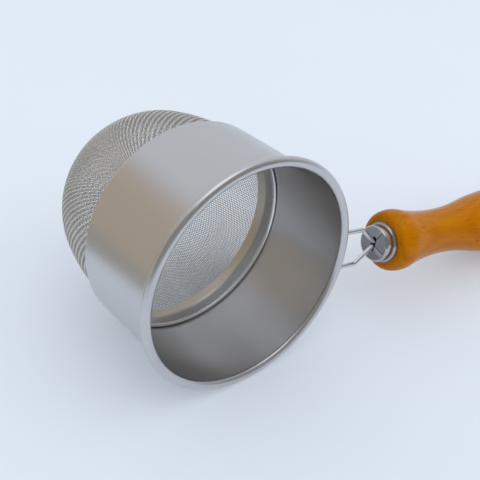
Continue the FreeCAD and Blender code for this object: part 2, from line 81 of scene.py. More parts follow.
class NodeBuilder:
    """A short way to place and join shader nodes in one tree."""

    def __init__(self, tree: bpy.types.NodeTree) -> None:
        """Keep the tree that nodes are added to.

        Args:
            tree: The node tree of a material, a world or a group.
        """
        self.tree = tree

    def add(self, kind: str, **settings: object) -> bpy.types.Node:
        """Add a node.

        Args:
            kind: The node's type name, without its leading "ShaderNode".
            **settings: Properties to set on the node.

        Returns:
            The new node.
        """
        node = self.tree.nodes.new("ShaderNode" + kind)
        for name, value in settings.items():
            setattr(node, name, value)
        return node

    def feed(self, socket: bpy.types.NodeSocket, value: object) -> None:
        """Join an output to a socket, or set the socket to a plain value.

        Args:
            socket: The input to feed.
            value: An output socket, or a value that the input takes.
        """
        if isinstance(value, bpy.types.NodeSocket):
            self.tree.links.new(value, socket)
        else:
            socket.default_value = value

    def feed_all(self, node: bpy.types.Node, values: dict[str, object]) -> None:
        """Feed several inputs of a node.

        Args:
            node: The node.
            values: What each input gets, by the input's name.
        """
        for name, value in values.items():
            self.feed(node.inputs[name], value)

    def effect(self, group: bpy.types.NodeTree, **values: object) -> bpy.types.NodeOutputs:
        """Add a shared node group.

        Args:
            group: The group's tree.
            **values: What each of its inputs gets.

        Returns:
            The group node's outputs.
        """
        node = self.add("Group", node_tree=group)
        self.feed_all(node, values)
        return node.outputs

    def math(self, operation: str, *values: object, clamp: bool = False) -> bpy.types.NodeSocket:
        """Work out one number.

        Args:
            operation: The Math node's operation.
            *values: Its inputs, outputs of other nodes or plain numbers.
            clamp: Whether the result is kept between 0 and 1.

        Returns:
            The result's output socket.
        """
        node = self.add("Math", operation=operation, use_clamp=clamp)
        for socket, value in zip(node.inputs, values):
            self.feed(socket, value)
        return node.outputs[0]

    def axes(self, vector: object) -> list[bpy.types.NodeSocket]:
        """Split a vector.

        Args:
            vector: The vector's output socket.

        Returns:
            The output sockets of its X, Y and Z.
        """
        node = self.add("SeparateXYZ")
        self.feed(node.inputs[0], vector)
        return list(node.outputs)

    def joined(self, **axes: object) -> bpy.types.NodeSocket:
        """Put a vector together.

        Args:
            **axes: Its X, Y or Z, which are 0 where they aren't given.

        Returns:
            The vector's output socket.
        """
        node = self.add("CombineXYZ")
        self.feed_all(node, axes)
        return node.outputs[0]

    def mapped(self, vector: object, kind: str = "POINT",
               **changes: object) -> bpy.types.NodeSocket:
        """Move, turn or stretch a vector.

        Args:
            vector: The vector's output socket.
            kind: What sort of vector it is.
            **changes: The Location, Rotation or Scale.

        Returns:
            The changed vector's output socket.
        """
        node = self.add("Mapping", vector_type=kind)
        self.feed_all(node, {"Vector": vector, **changes})
        return node.outputs[0]

    def radius(self, x: object, y: object) -> bpy.types.NodeSocket:
        """How far a place is from its Z axis.

        Args:
            x: The place's X.
            y: The place's Y.

        Returns:
            The distance's output socket.
        """
        return self.math("SQRT", self.math("ADD", self.math("POWER", x, 2.0),
                                           self.math("POWER", y, 2.0)))

    def span(self, value: object, low: float, high: float, start: object = 0.0,
             end: object = 1.0) -> bpy.types.NodeSocket:
        """Map a range of a value to another range, easing in and out, and hold it outside.

        Args:
            value: The value to map.
            low: Where the range starts.
            high: Where the range ends.
            start: The result at low.
            end: The result at high.

        Returns:
            The result's output socket.
        """
        node = self.add("MapRange", interpolation_type="SMOOTHSTEP")
        self.feed_all(node, {"Value": value, "From Min": low, "From Max": high,
                             "To Min": start, "To Max": end})
        return node.outputs["Result"]

    def blend(self, factor: object, first: object, second: object) -> bpy.types.NodeSocket:
        """Mix two colours.

        Args:
            factor: How much of the second colour is used.
            first: A colour or a colour output.
            second: A colour or a colour output.

        Returns:
            The mixed colour's output socket.
        """
        node = self.add("Mix", data_type="RGBA", blend_type="MIX")
        self.feed_all(node, {"Factor": factor, "A": first, "B": second})
        return node.outputs["Result"]

    def noise(self, vector: object, scale: object, detail: float = 2.0,
              roughness: float = 0.5, distortion: float = 0.0) -> bpy.types.NodeSocket:
        """Noise between 0 and 1.

        Args:
            vector: The place at which it is read.
            scale: How fine it is.
            detail: How many finer layers it has.
            roughness: How strong the finer layers are.
            distortion: How far it is pulled out of shape.

        Returns:
            The noise value's output socket.
        """
        node = self.add("TexNoise")
        self.feed_all(node, {"Vector": vector, "Scale": scale, "Detail": detail,
                             "Roughness": roughness, "Distortion": distortion})
        return node.outputs["Fac"]

    def bump(self, height: object, strength: float, distance: float) -> bpy.types.NodeSocket:
        """A normal from a height.

        Args:
            height: The height's output socket.
            strength: How strongly the normal follows it.
            distance: The height that 1 stands for, in metres.

        Returns:
            The normal's output socket.
        """
        node = self.add("Bump")
        self.feed_all(node, {"Height": height, "Strength": strength, "Distance": distance})
        return node.outputs["Normal"]


def new_material(name: str) -> tuple[bpy.types.Material, NodeBuilder, bpy.types.Node]:
    """Start a material.

    Args:
        name: The material's name.

    Returns:
        The material, a builder for its tree, and its Principled BSDF.
    """
    material = bpy.data.materials.new(name)
    material.use_nodes = True
    tree = material.node_tree
    return material, NodeBuilder(tree), tree.nodes["Principled BSDF"]


@dataclass(frozen=True)
class StreakPattern:
    """How the painted light and shade streaks on the outside of a bowl of wire cloth
    run, in radians and metres.

    They lie mirrored about one meridian and the one opposite, and lean away from it
    towards the crown.  Level numbers them: it is the logarithm of the angle from the
    meridian, less the lean for each metre of depth.  The pairs say where a mask starts
    and ends: beside the meridian (in level), between the two meridians (in angle), near
    the crown (in radius) and towards the outside (in the cosine of the facing).
    """

    meridian: float = -2.468
    smallest_angle: float = 0.001
    lean: float = 40.0
    level_depth: float = 0.050
    sway: float = 1.5
    sway_size: float = 45.0
    wave: tuple[float, float] = (-0.35, 0.9)
    dark: float = -0.9
    bright: float = 1.02
    beside: tuple[float, float] = (-2.7, -1.5)
    between: tuple[float, float] = (1.10, 1.45)
    crown: tuple[float, float] = (0.016, 0.036)
    outside: tuple[float, float] = (0.0, 0.25)


class EffectLibrary:
    """The effects that several finishes share, each one node group built once."""

    def __init__(self) -> None:
        """Build every group."""
        self.turned_lines = self._turned_lines()
        self.hand_marks = self._hand_marks()
        self.edge_wear = self._edge_wear()
        self.painted_light_streaks = self._painted_light_streaks(StreakPattern())

    @staticmethod
    def _group(name: str, inputs: dict[str, float | None], *outputs: str,
               ) -> tuple[bpy.types.NodeTree, NodeBuilder, bpy.types.NodeOutputs, bpy.types.Node]:
        """Start a node group with its sockets.

        Args:
            name: The group's name.
            inputs: Each number's name and default.  A vector has None.
            *outputs: The name of each number that comes out.

        Returns:
            The tree, a builder for it, what comes in, and the output node.
        """
        tree = bpy.data.node_groups.new(name, "ShaderNodeTree")
        for label, default in inputs.items():
            kind = "NodeSocketVector" if default is None else "NodeSocketFloat"
            socket = tree.interface.new_socket(name=label, in_out="INPUT", socket_type=kind)
            if default is not None:
                socket.default_value = default
        for label in outputs:
            tree.interface.new_socket(name=label, in_out="OUTPUT", socket_type="NodeSocketFloat")
        given = tree.nodes.new("NodeGroupInput").outputs
        sink = tree.nodes.new("NodeGroupOutput")
        return tree, NodeBuilder(tree), given, sink

    def _turned_lines(self) -> bpy.types.NodeTree:
        """Fine lines that run round an axis, as rolling, spinning or brushing leaves them.

        Returns:
            The group: Place is a point whose Z runs along the axis.
        """
        tree, make, given, sink = self._group(
            "Turned lines", {"Place": None, "Fineness": 900.0, "Length": 6.0}, "Lines")
        x, y, z = make.axes(given["Place"])
        turn = make.math("ARCTAN2", y, x)
        lined = make.joined(
            X=make.math("MULTIPLY", make.math("COSINE", turn), given["Length"]),
            Y=make.math("MULTIPLY", make.math("SINE", turn), given["Length"]),
            Z=make.math("MULTIPLY", z, given["Fineness"]))
        make.feed(sink.inputs["Lines"], make.noise(lined, scale=1.0, detail=3.0, roughness=0.6))
        return tree

    def _hand_marks(self) -> bpy.types.NodeTree:
        """Faint smudges and cloudy patches that handling leaves on a polished surface.

        Returns:
            The group, with a mask that is Amount where the surface is smudged.
        """
        tree, make, given, sink = self._group(
            "Hand marks", {"Place": None, "Size": 40.0, "Amount": 0.5}, "Mask")
        cloud = make.noise(given["Place"], given["Size"], detail=1.5, distortion=0.6)
        patch = make.span(cloud, 0.48, 0.72)
        make.feed(sink.inputs["Mask"], make.math("MULTIPLY", patch, given["Amount"]))
        return tree

    def _edge_wear(self) -> bpy.types.NodeTree:
        """Where handling has rubbed an outer edge.

        Returns:
            The group, with a mask that is Amount on worn edges.
        """
        tree, make, given, sink = self._group(
            "Edge wear", {"Place": None, "Amount": 0.5}, "Mask")
        edge = make.span(make.add("NewGeometry").outputs["Pointiness"], 0.52, 0.62)
        broken = make.span(make.noise(given["Place"], scale=260.0, detail=3.0), 0.35, 0.65)
        both = make.math("MULTIPLY", edge, broken)
        make.feed(sink.inputs["Mask"], make.math("MULTIPLY", both, given["Amount"]))
        return tree

    def _painted_light_streaks(self, pattern: StreakPattern) -> bpy.types.NodeTree:
        """Streaks on the outside of a bowl of wire cloth, from its edge towards its crown.

        They are painted light and shade, standing in for the bright and dark bands that
        fine cloth shows, which its wires alone make only faintly.

        Args:
            pattern: How they run.

        Returns:
            The group.  Shade multiplies the cloth's colour: it is 1 inside the bowl and
            where the streaks fade out, more on a bright side and less on a dark one.
            Outside is 1 on the bowl's outside.
        """
        tree, make, given, sink = self._group(
            "Painted light streaks",
            {"Place": None, "Facing": None, "Centre depth": 0.045, "Count": 53.0,
             "Amount": 0.4},
            "Shade", "Outside")
        x, y, z = make.axes(given["Place"])
        turn = make.math("SUBTRACT", make.math("ARCTAN2", y, x), pattern.meridian)
        angle = make.math("ABSOLUTE", make.math("WRAP", turn, math.pi / 2, -math.pi / 2))
        spread = make.math("LOGARITHM", make.math("MAXIMUM", angle, pattern.smallest_angle),
                           math.e)
        level = make.math("MULTIPLY_ADD", make.math("SUBTRACT", z, pattern.level_depth),
                          -pattern.lean, spread)
        sway = make.noise(given["Place"], pattern.sway_size)
        wave = make.math("SINE", make.math("MULTIPLY_ADD", sway, pattern.sway,
                                           make.math("MULTIPLY", level, given["Count"])))
        streak = make.span(wave, *pattern.wave, pattern.dark, pattern.bright)
        for mask in (make.span(level, *pattern.beside),
                     make.span(angle, *pattern.between, 1.0, 0.0),
                     make.span(make.radius(x, y), *pattern.crown)):
            streak = make.math("MULTIPLY", streak, mask)

        reach = make.add("VectorMath", operation="SUBTRACT")
        make.feed(reach.inputs[0], given["Place"])
        make.feed(reach.inputs[1], make.joined(Z=given["Centre depth"]))
        outward = make.add("VectorMath", operation="NORMALIZE")
        make.feed(outward.inputs[0], reach.outputs[0])
        cosine = make.add("VectorMath", operation="DOT_PRODUCT")
        make.feed(cosine.inputs[0], outward.outputs[0])
        make.feed(cosine.inputs[1], given["Facing"])
        outside = make.span(cosine.outputs["Value"], *pattern.outside)
        shown = make.math("MULTIPLY", outside, given["Amount"])
        make.feed_all(sink, {"Shade": make.math("MULTIPLY_ADD", streak, shown, 1.0),
                             "Outside": outside})
        return tree


# ---------------------------------------------------------------- finishes


class Role(Enum):
    """What a finish is used on, by the record's material slot."""

    DRUM = "drum_steel"
    RING = "ring_steel"
    WIRE = "wire_steel"
    CLOTH = "woven_wire"
    CAP = "cap_chrome"
    WOOD = "varnished_wood"
    RESIN = "cured_resin"


@dataclass(frozen=True)
class WorkFrame:
    """An axis system laid along a turned piece, in the row frame."""

    origin: Vector
    across: Vector
    axis: Vector

    def matrix(self) -> Matrix:
        """What takes the frame's own coordinates to the row frame.

        Returns:
            The matrix, in metres.
        """
        side = self.axis.cross(self.across)
        turn = Matrix((self.across, side, self.axis)).transposed()
        return Matrix.Translation(self.origin) @ turn.to_4x4()

    def place(self, points: np.ndarray) -> np.ndarray:
        """Take points in the frame, in millimetres, to metres in the row frame.

        Args:
            points: An array whose last axis holds X, Y and Z.

        Returns:
            An array of the same shape.
        """
        side = self.axis.cross(self.across)
        turn = np.array([self.across, side, self.axis])
        return points * MM @ turn + np.array(self.origin)

    def coordinates(self, make: NodeBuilder) -> bpy.types.NodeSocket:
        """A shader's place in this frame, in metres.

        Args:
            make: The builder of the material's tree.

        Returns:
            The vector's output socket.
        """
        inverse = self.matrix().inverted()
        return make.mapped(make.add("TexCoord").outputs["Object"],
                           Location=inverse.to_translation(),
                           Rotation=inverse.to_euler("XYZ"))

    def facing(self, make: NodeBuilder) -> bpy.types.NodeSocket:
        """The surface's direction in this frame.

        Args:
            make: The builder of the material's tree.

        Returns:
            The vector's output socket.
        """
        return make.mapped(make.add("NewGeometry").outputs["Normal"], "VECTOR",
                           Rotation=self.matrix().inverted().to_euler("XYZ"))


@dataclass(frozen=True)
class MetalFinish:
    """Stainless steel or chrome, from satin to mirror.

    Polished end and band start are depths along the frame's Z, in metres.  A finish
    without them has neither a polished bead nor a band.  The bead's lighter colour is a
    painted highlight on its smoother finish, and the band's warm colour is a painted
    reflection.
    """

    name: str
    tint: Colour
    cloudy_tint: Colour
    roughness: float
    line_spread: float = 0.03
    line_fineness: float = 900.0
    smudges: float = 0.3
    smudge_size: float = 40.0
    smudge_dullness: float = 0.05
    wear: float = 0.2
    wear_shine: float = 0.3
    wear_brightness: float = 1.15
    # Amount of painted light and shade streaks on the cloth's outside.
    streaks: float = 0.0
    outside_dullness: float = 0.03
    polished_end: float = 0.0
    polished_fade: float = 0.0003
    polished_share: float = 0.25
    # Lighter bead colour: a painted highlight.
    bead_highlight_tint: Colour = (0.85, 0.85, 0.86)
    band_start: float = 0.0
    band_fade: float = 0.0025
    # Warm band colour: a painted reflection.
    band_reflection_tint: Colour = (0.66, 0.60, 0.51)

    def build(self, effects: EffectLibrary, frame: WorkFrame) -> bpy.types.Material:
        """Make the material.

        Args:
            effects: The shared node groups.
            frame: The axis system in which its lines run round Z.

        Returns:
            The material.
        """
        material, make, shader = new_material(self.name)
        place = frame.coordinates(make)
        marks = make.effect(effects.hand_marks, Place=place, Size=self.smudge_size,
                            Amount=self.smudges)["Mask"]
        worn = make.effect(effects.edge_wear, Place=place, Amount=self.wear)["Mask"]
        lines = make.effect(effects.turned_lines, Place=place,
                            Fineness=self.line_fineness)["Lines"]

        dullness = make.span(lines, 0.3, 0.7, self.roughness * (1 - self.line_spread),
                             self.roughness * (1 + self.line_spread))
        colour = make.blend(marks, (*self.tint, 1), (*self.cloudy_tint, 1))
        bright = tuple(min(1.0, part * self.wear_brightness) for part in self.tint)
        colour = make.blend(worn, colour, (*bright, 1))
        # Painted light and shade: bright and dark streaks on the bowl's outside.
        if self.streaks:
            streaks = make.effect(effects.painted_light_streaks, Place=place,
                                  Facing=frame.facing(make), Amount=self.streaks)
            shaded = make.add("VectorMath", operation="SCALE")
            make.feed(shaded.inputs[0], colour)
            make.feed(shaded.inputs["Scale"], streaks["Shade"])
            colour = shaded.outputs[0]
            dullness = make.math("MULTIPLY_ADD", streaks["Outside"], self.outside_dullness,
                                 dullness)
        dullness = make.math("MULTIPLY_ADD", marks, self.smudge_dullness, dullness)
        dullness = make.math("MULTIPLY_ADD", worn, -self.wear_shine * self.roughness, dullness)
        if self.polished_end:
            # The bead has a smoother finish, and a lighter colour that is a painted highlight.
            depth = make.axes(place)[2]
            satin_start = self.polished_end + self.polished_fade
            satin = make.span(depth, self.polished_end, satin_start)
            colour = make.blend(satin, (*self.bead_highlight_tint, 1), colour)
            dullness = make.math("MULTIPLY", dullness, make.span(
                depth, self.polished_end, satin_start, self.polished_share, 1.0))
            # The band below the bead has a warm colour that is a painted reflection.
            band = make.span(depth, self.band_start, self.band_start + self.band_fade)
            colour = make.blend(band, colour, (*self.band_reflection_tint, 1))
        make.feed_all(shader, {"Metallic": 1.0, "Base Color": colour, "Roughness": dullness})
        return material


@dataclass(frozen=True)
class WoodFinish:
    """Turned hardwood under an amber gloss varnish.

    Heart is the shift that takes the rings' middle off the handle's axis, and front is
    where the handle starts along the frame's Z, both in metres.  Near the front the wood
    is painted a little darker: painted shade.
    """

    name: str = "Amber varnished hardwood"
    light: Colour = (0.50, 0.170, 0.0)
    dark: Colour = (0.39, 0.112, 0.0)
    pore: Colour = (0.23, 0.052, 0.0)
    rubbed: Colour = (0.55, 0.24, 0.02)
    wear: float = 0.35
    pore_range: tuple[float, float] = (0.54, 0.70)
    pore_strength: float = 0.75
    heart: tuple[float, float, float] = (0.021, -0.013, 0.0)
    ring_stretch: float = 0.07
    ring_rate: float = 2600.0
    ring_wander: float = 7.0
    ring_contrast: float = 0.16
    fibre_stretch: float = 0.035
    broad_tones: tuple[float, float] = (0.15, 0.75)
    front: float = -0.084
    front_fade: float = 0.010
    # Painted shade on the front end of the handle, beside the drum.
    front_painted_shade: float = 0.1
    varnish_roughness: float = 0.06
    varnish_index: float = 1.18
    grain_height: float = 0.00005

    def build(self, effects: EffectLibrary, frame: WorkFrame) -> bpy.types.Material:
        """Make the material.

        Args:
            effects: The shared node groups.
            frame: The handle's frame, with Z along the grain.

        Returns:
            The material.
        """
        material, make, shader = new_material(self.name)
        place = frame.coordinates(make)

        off_heart = make.mapped(place, Location=self.heart, Scale=(1.0, 1.0, self.ring_stretch))
        wander = make.noise(off_heart, scale=45.0, detail=3.0)
        x, y, _ = make.axes(off_heart)
        ring = make.math("SINE", make.math(
            "MULTIPLY_ADD", wander, self.ring_wander,
            make.math("MULTIPLY", make.radius(x, y), self.ring_rate)))
        stretched = make.mapped(place, Scale=(1.0, 1.0, self.fibre_stretch))
        fibre = make.noise(stretched, scale=1500.0, detail=4.0, roughness=0.7)
        broad = make.noise(stretched, scale=130.0, detail=3.0)

        # Painted shade: the wood darkens a little towards its front end, which faces the drum.
        front = make.span(make.axes(place)[2], self.front, self.front + self.front_fade,
                          self.front_painted_shade, 0.0)
        tone = make.math("MULTIPLY_ADD", ring, self.ring_contrast,
                         make.span(broad, 0.3, 0.7, *self.broad_tones))
        tone = make.math("ADD", tone, front, clamp=True)
        colour = make.blend(tone, (*self.light, 1), (*self.dark, 1))
        pores = make.span(fibre, *self.pore_range, 0.0, self.pore_strength)
        colour = make.blend(pores, colour, (*self.pore, 1))
        worn = make.effect(effects.edge_wear, Place=place, Amount=self.wear)["Mask"]
        colour = make.blend(worn, colour, (*self.rubbed, 1))

        marks = make.effect(effects.hand_marks, Place=place, Size=60.0, Amount=0.5)["Mask"]
        height = make.math("MULTIPLY_ADD", fibre, 0.5, make.math("MULTIPLY", ring, 0.25))
        make.feed_all(shader, {
            "Base Color": colour, "Roughness": make.span(marks, 0.0, 1.0, 0.30, 0.42),
            "Coat Weight": 1.0, "Coat Roughness": self.varnish_roughness,
            "Coat IOR": self.varnish_index, "Specular IOR Level": 0.0,
            "Normal": make.bump(height, 0.25, self.grain_height)})
        return material


@dataclass(frozen=True)
class ResinFinish:
    """Cured two-part resin, hidden in the handle's bore."""

    name: str = "Cured resin"
    tint: Colour = (0.55, 0.42, 0.18)

    def build(self, effects: EffectLibrary, frame: WorkFrame) -> bpy.types.Material:
        """Make the material.

        Args:
            effects: The shared node groups.
            frame: The handle's frame.

        Returns:
            The material.
        """
        material, make, shader = new_material(self.name)
        marks = make.effect(effects.hand_marks, Place=frame.coordinates(make),
                            Size=300.0)["Mask"]
        cloudy = tuple(part * 0.8 for part in self.tint)
        make.feed_all(shader, {
            "Base Color": make.blend(marks, (*self.tint, 1), (*cloudy, 1)),
            "Roughness": make.span(marks, 0.0, 1.0, 0.35, 0.5)})
        return material


FINISHES = {
    Role.DRUM: MetalFinish("Satin stainless sheet", (0.60, 0.60, 0.61), (0.47, 0.46, 0.44),
                           0.29, smudges=0.25, smudge_size=24.0, wear=0.0, line_spread=0.02),
    # The ring's bead carries a painted highlight and its band a painted warm reflection.
    Role.RING: MetalFinish("Satin stainless strip", (0.68, 0.66, 0.62), (0.62, 0.59, 0.54),
                           0.30, line_fineness=2500.0, wear=0.0, polished_end=0.0417,
                           band_start=0.0440),
    Role.WIRE: MetalFinish("Drawn stainless wire", (0.66, 0.66, 0.67), (0.60, 0.59, 0.57),
                           0.14, smudge_size=200.0),
    # The cloth's streaks are painted light and shade.
    Role.CLOTH: MetalFinish("Woven stainless wire", (0.70, 0.69, 0.67), (0.60, 0.57, 0.53),
                            0.26, smudge_size=55.0, smudges=0.6, wear=0.0, streaks=0.42),
    Role.CAP: MetalFinish("Mirror chrome", (0.47, 0.47, 0.48), (0.43, 0.43, 0.43),
                          0.05, smudges=0.15, smudge_size=150.0),
    Role.WOOD: WoodFinish(),
    Role.RESIN: ResinFinish(),
}


# ---------------------------------------------------------------- the woven bowl


@dataclass
class BowlSurface:
    """The middle surface of the cloth, measured along it from the crown, in mm."""

    radius: float = 42.45
    side_radius: float = 99.7
    dome_start: float = 47.0
    depth: float = 102.4
    knee: float = 45.2
    flare_radius: float = 43.91
    flare_top: float = 42.1

    def __post_init__(self) -> None:
        """Work out the two arcs of the dome, which meet without a corner."""
        self.side_centre = self.radius - self.side_radius
        height = self.depth - self.dome_start
        self.crown_radius = ((self.side_centre ** 2 + height ** 2 - self.side_radius ** 2)
                             / (2 * (height - self.side_radius)))
        self.crown_centre = self.depth - self.crown_radius
        self.meet = math.atan2(self.crown_centre - self.dome_start, -self.side_centre)
        self.crown_end = self.crown_radius * (math.pi / 2 - self.meet)
        self.side_end = self.crown_end + self.side_radius * self.meet
        self.knee_end = self.side_end + self.dome_start - self.knee
        self.flare = math.hypot(self.flare_radius - self.radius, self.knee - self.flare_top)
        self.edge = self.knee_end + self.flare

    def profile(self, run: np.ndarray) -> tuple[np.ndarray, np.ndarray]:
        """Radius and depth of the surface.

        Args:
            run: The length along the surface from the crown.

        Returns:
            The radius and the depth below the mouth, for each run.
        """
        crown = math.pi / 2 - run / self.crown_radius
        side = self.meet - (run - self.crown_end) / self.side_radius
        beyond = (run - self.knee_end) / self.flare
        rows = (
            (run <= self.crown_end, self.crown_radius * np.cos(crown),
             self.crown_centre + self.crown_radius * np.sin(crown)),
            (run <= self.side_end, self.side_centre + self.side_radius * np.cos(side),
             self.dome_start + self.side_radius * np.sin(side)),
            (run <= self.knee_end, np.full_like(run, self.radius),
             self.dome_start - (run - self.side_end)),
        )
        conditions = [row[0] for row in rows]
        radius = np.select(conditions, [row[1] for row in rows],
                           self.radius + (self.flare_radius - self.radius) * beyond)
        depth = np.select(conditions, [row[2] for row in rows],
                          self.knee + (self.flare_top - self.knee) * beyond)
        return radius, depth

    def points(self, flat: np.ndarray) -> np.ndarray:
        """Lay flat points, given by run and direction from the crown, on the surface.

        Args:
            flat: X and Y of each point on the last axis.

        Returns:
            X, Y and Z of each point in the drum's frame.
        """
        run = np.hypot(flat[..., 0], flat[..., 1])
        turn = np.arctan2(flat[..., 1], flat[..., 0])
        radius, depth = self.profile(run)
        return np.stack([radius * np.cos(turn), radius * np.sin(turn), depth], -1)

    def normals(self, flat: np.ndarray) -> np.ndarray:
        """The surface's outward direction at flat points.

        Args:
            flat: X and Y of each point on the last axis.

        Returns:
            A unit vector for each point.
        """
        step = 1e-3
        along = self.points(flat + [step, 0]) - self.points(flat - [step, 0])
        across = self.points(flat + [0, step]) - self.points(flat - [0, step])
        normal = np.cross(along, across)
        return normal / np.linalg.norm(normal, axis=-1, keepdims=True)


@dataclass
class WovenBowl:
    """Plain-weave wire cloth pressed over the dome, its crossings a fixed pitch apart."""

    pitch: float = 1.0
    wire_radius: float = 0.15
    sides: int = 6
    shortest_wire: int = 3
    newton_rounds: int = 12
    tolerance: float = 1e-3
    surface: BowlSurface = field(default_factory=BowlSurface)

    def quarter_net(self) -> np.ndarray:
        """Where the crossings lie over one quarter of the bowl.

        Two wires run straight down the dome from the crown.  Every other crossing is one
        pitch from its two neighbours, as in a cloth whose wires turn but don't stretch.

        Returns:
            Flat coordinates of crossing (i, j), not a number beyond the cloth's edge.
        """
        count = int(2 * self.surface.edge / self.pitch)
        net = np.full((count, count, 2), np.nan)
        steps = np.arange(count) * self.pitch
        net[:, 0] = np.stack([steps, np.zeros(count)], -1)
        net[0, :] = np.stack([np.zeros(count), steps], -1)
        limit = self.surface.edge + 2 * self.pitch
        for diagonal in range(2, 2 * count):
            i = np.arange(max(1, diagonal - count + 1), min(diagonal, count))
            j = diagonal - i
            before, beside, behind = net[i - 1, j], net[i, j - 1], net[i - 1, j - 1]
            near = (np.hypot(*before.T) < limit) | (np.hypot(*beside.T) < limit)
            keep = near & ~np.isnan(before + beside + behind).any(-1)
            if not keep.any():
                break
            net[i[keep], j[keep]] = self.next_crossing(
                before[keep], beside[keep], (before + beside - behind)[keep])
        return net

    def next_crossing(self, before: np.ndarray, beside: np.ndarray,
                      guess: np.ndarray) -> np.ndarray:
        """Find the points one pitch from two neighbours, by Newton's method.

        Args:
            before: Flat places of the first neighbours.
            beside: Flat places of the second neighbours.
            guess: Flat places to start from.

        Returns:
            Flat places, not a number where there is no such point.
        """
        first = self.surface.points(before)
        second = self.surface.points(beside)
        flat = guess.copy()
        step = 1e-4
        for _ in range(self.newton_rounds):
            here = self.surface.points(flat)
            along = (self.surface.points(flat + [step, 0]) - here) / step
            across = (self.surface.points(flat + [0, step]) - here) / step
            one, two = here - first, here - second
            miss_one = (one ** 2).sum(-1) - self.pitch ** 2
            miss_two = (two ** 2).sum(-1) - self.pitch ** 2
            a, b = 2 * (one * along).sum(-1), 2 * (one * across).sum(-1)
            c, d = 2 * (two * along).sum(-1), 2 * (two * across).sum(-1)
            scale = a * d - b * c
            scale = np.where(np.abs(scale) < 1e-9, 1e-9, scale)
            move = np.stack([d * miss_one - b * miss_two, a * miss_two - c * miss_one], -1)
            move /= scale[:, None]
            length = np.linalg.norm(move, axis=-1, keepdims=True)
            flat -= move * np.minimum(1, self.pitch / 2 / np.maximum(length, 1e-12))
        here = self.surface.points(flat)
        gap = np.maximum(np.abs(np.linalg.norm(here - first, axis=-1) - self.pitch),
                         np.abs(np.linalg.norm(here - second, axis=-1) - self.pitch))
        flat[gap > self.tolerance * self.pitch] = np.nan
        return flat

    def full_net(self) -> np.ndarray:
        """Mirror the quarter to the whole bowl.

        Returns:
            Flat coordinates of every crossing, with the crown in the middle.
        """
        quarter = self.quarter_net()
        half = np.concatenate([quarter[:0:-1] * [-1, 1], quarter])
        return np.concatenate([half[:, :0:-1] * [1, -1], half], axis=1)

    def wire_paths(self, net: np.ndarray, warp: bool) -> list[tuple[np.ndarray, np.ndarray]]:
        """Follow each wire of one set from edge to edge.

        Args:
            net: Flat coordinates of the crossings.
            warp: Whether the set runs along the first index of the net.

        Returns:
            For each wire, its centre line's points and the surface's normals there.
        """
        rows, columns = np.indices(net.shape[:2])
        lift = np.where((rows + columns) % 2 == 0, 1.0, -1.0) * self.wire_radius
        if warp:
            net, lift = net.transpose(1, 0, 2), -lift.T
        inside = np.hypot(net[..., 0], net[..., 1]) <= self.surface.edge
        paths = []
        for line, level, shown in zip(net, lift, inside):
            places = np.flatnonzero(shown)
            if len(places) < self.shortest_wire:
                continue
            for run in np.split(places, np.flatnonzero(np.diff(places) > 1) + 1):
                if len(run) < self.shortest_wire:
                    continue
                normal = self.surface.normals(line[run])
                paths.append((self.surface.points(line[run]) + normal * level[run, None],
                              normal))
        return paths

    def tube(self, path: np.ndarray, normal: np.ndarray) -> tuple[np.ndarray, np.ndarray]:
        """A closed round tube along a path.

        Args:
            path: The centre line's points.
            normal: A direction across the line at each point.

        Returns:
            The tube's vertices, and its quads as vertex numbers.
        """
        along = np.gradient(path, axis=0)
        along /= np.linalg.norm(along, axis=-1, keepdims=True)
        side = np.cross(along, normal)
        side /= np.linalg.norm(side, axis=-1, keepdims=True)
        out = np.cross(side, along)
        turn = np.arange(self.sides) * 2 * math.pi / self.sides
        ring = (np.cos(turn)[None, :, None] * out[:, None]
                + np.sin(turn)[None, :, None] * side[:, None])
        vertices = (path[:, None] + self.wire_radius * ring).reshape(-1, 3)
        start = np.arange(len(path) - 1)[:, None] * self.sides
        here = start + np.arange(self.sides)
        following = start + (np.arange(self.sides) + 1) % self.sides
        quads = np.stack([here, following, following + self.sides, here + self.sides], -1)
        return vertices, quads.reshape(-1, 4)

    def build(self, frame: WorkFrame, material: bpy.types.Material) -> list[bpy.types.Object]:
        """Weave the cloth in four pieces, half of each set of wires apiece.

        Args:
            frame: The drum's frame.
            material: The wires' finish.

        Returns:
            The new objects.
        """
        net = self.full_net()
        made = []
        for set_name, warp in (("warp", True), ("weft", False)):
            paths = self.wire_paths(net, warp)
            middle = len(paths) // 2
            for half_name, share in (("first_half", paths[:middle]),
                                     ("second_half", paths[middle:])):
                vertices, quads, used = [], [], 0
                for path, normal in share:
                    points, faces = self.tube(path, normal)
                    vertices.append(points)
                    quads.append(faces + used)
                    used += len(points)
                name = f"bowl_{set_name}_wires_{half_name}"
                made.append(smooth_mesh(name, frame.place(np.concatenate(vertices)),
                                        np.concatenate(quads), material))
        return made


def smooth_mesh(name: str, vertices: np.ndarray, quads: np.ndarray,
                material: bpy.types.Material) -> bpy.types.Object:
    """Make a smooth-shaded mesh object of quads.

    Args:
        name: The object's name.
        vertices: Places in metres in the row frame.
        quads: Vertex numbers of each face.
        material: Its finish.

    Returns:
        The object, linked to the scene.
    """
    mesh = bpy.data.meshes.new(name)
    mesh.vertices.add(len(vertices))
    mesh.vertices.foreach_set("co", vertices.astype(np.float32).ravel())
    mesh.loops.add(quads.size)
    mesh.loops.foreach_set("vertex_index", quads.astype(np.int32).ravel())
    mesh.polygons.add(len(quads))
    mesh.polygons.foreach_set("loop_start", np.arange(0, quads.size, 4, dtype=np.int32))
    mesh.update(calc_edges=True)
    mesh.shade_smooth()
    mesh.materials.append(material)
    made = bpy.data.objects.new(name, mesh)
    bpy.context.scene.collection.objects.link(made)
    return made


# ---------------------------------------------------------------- the studio


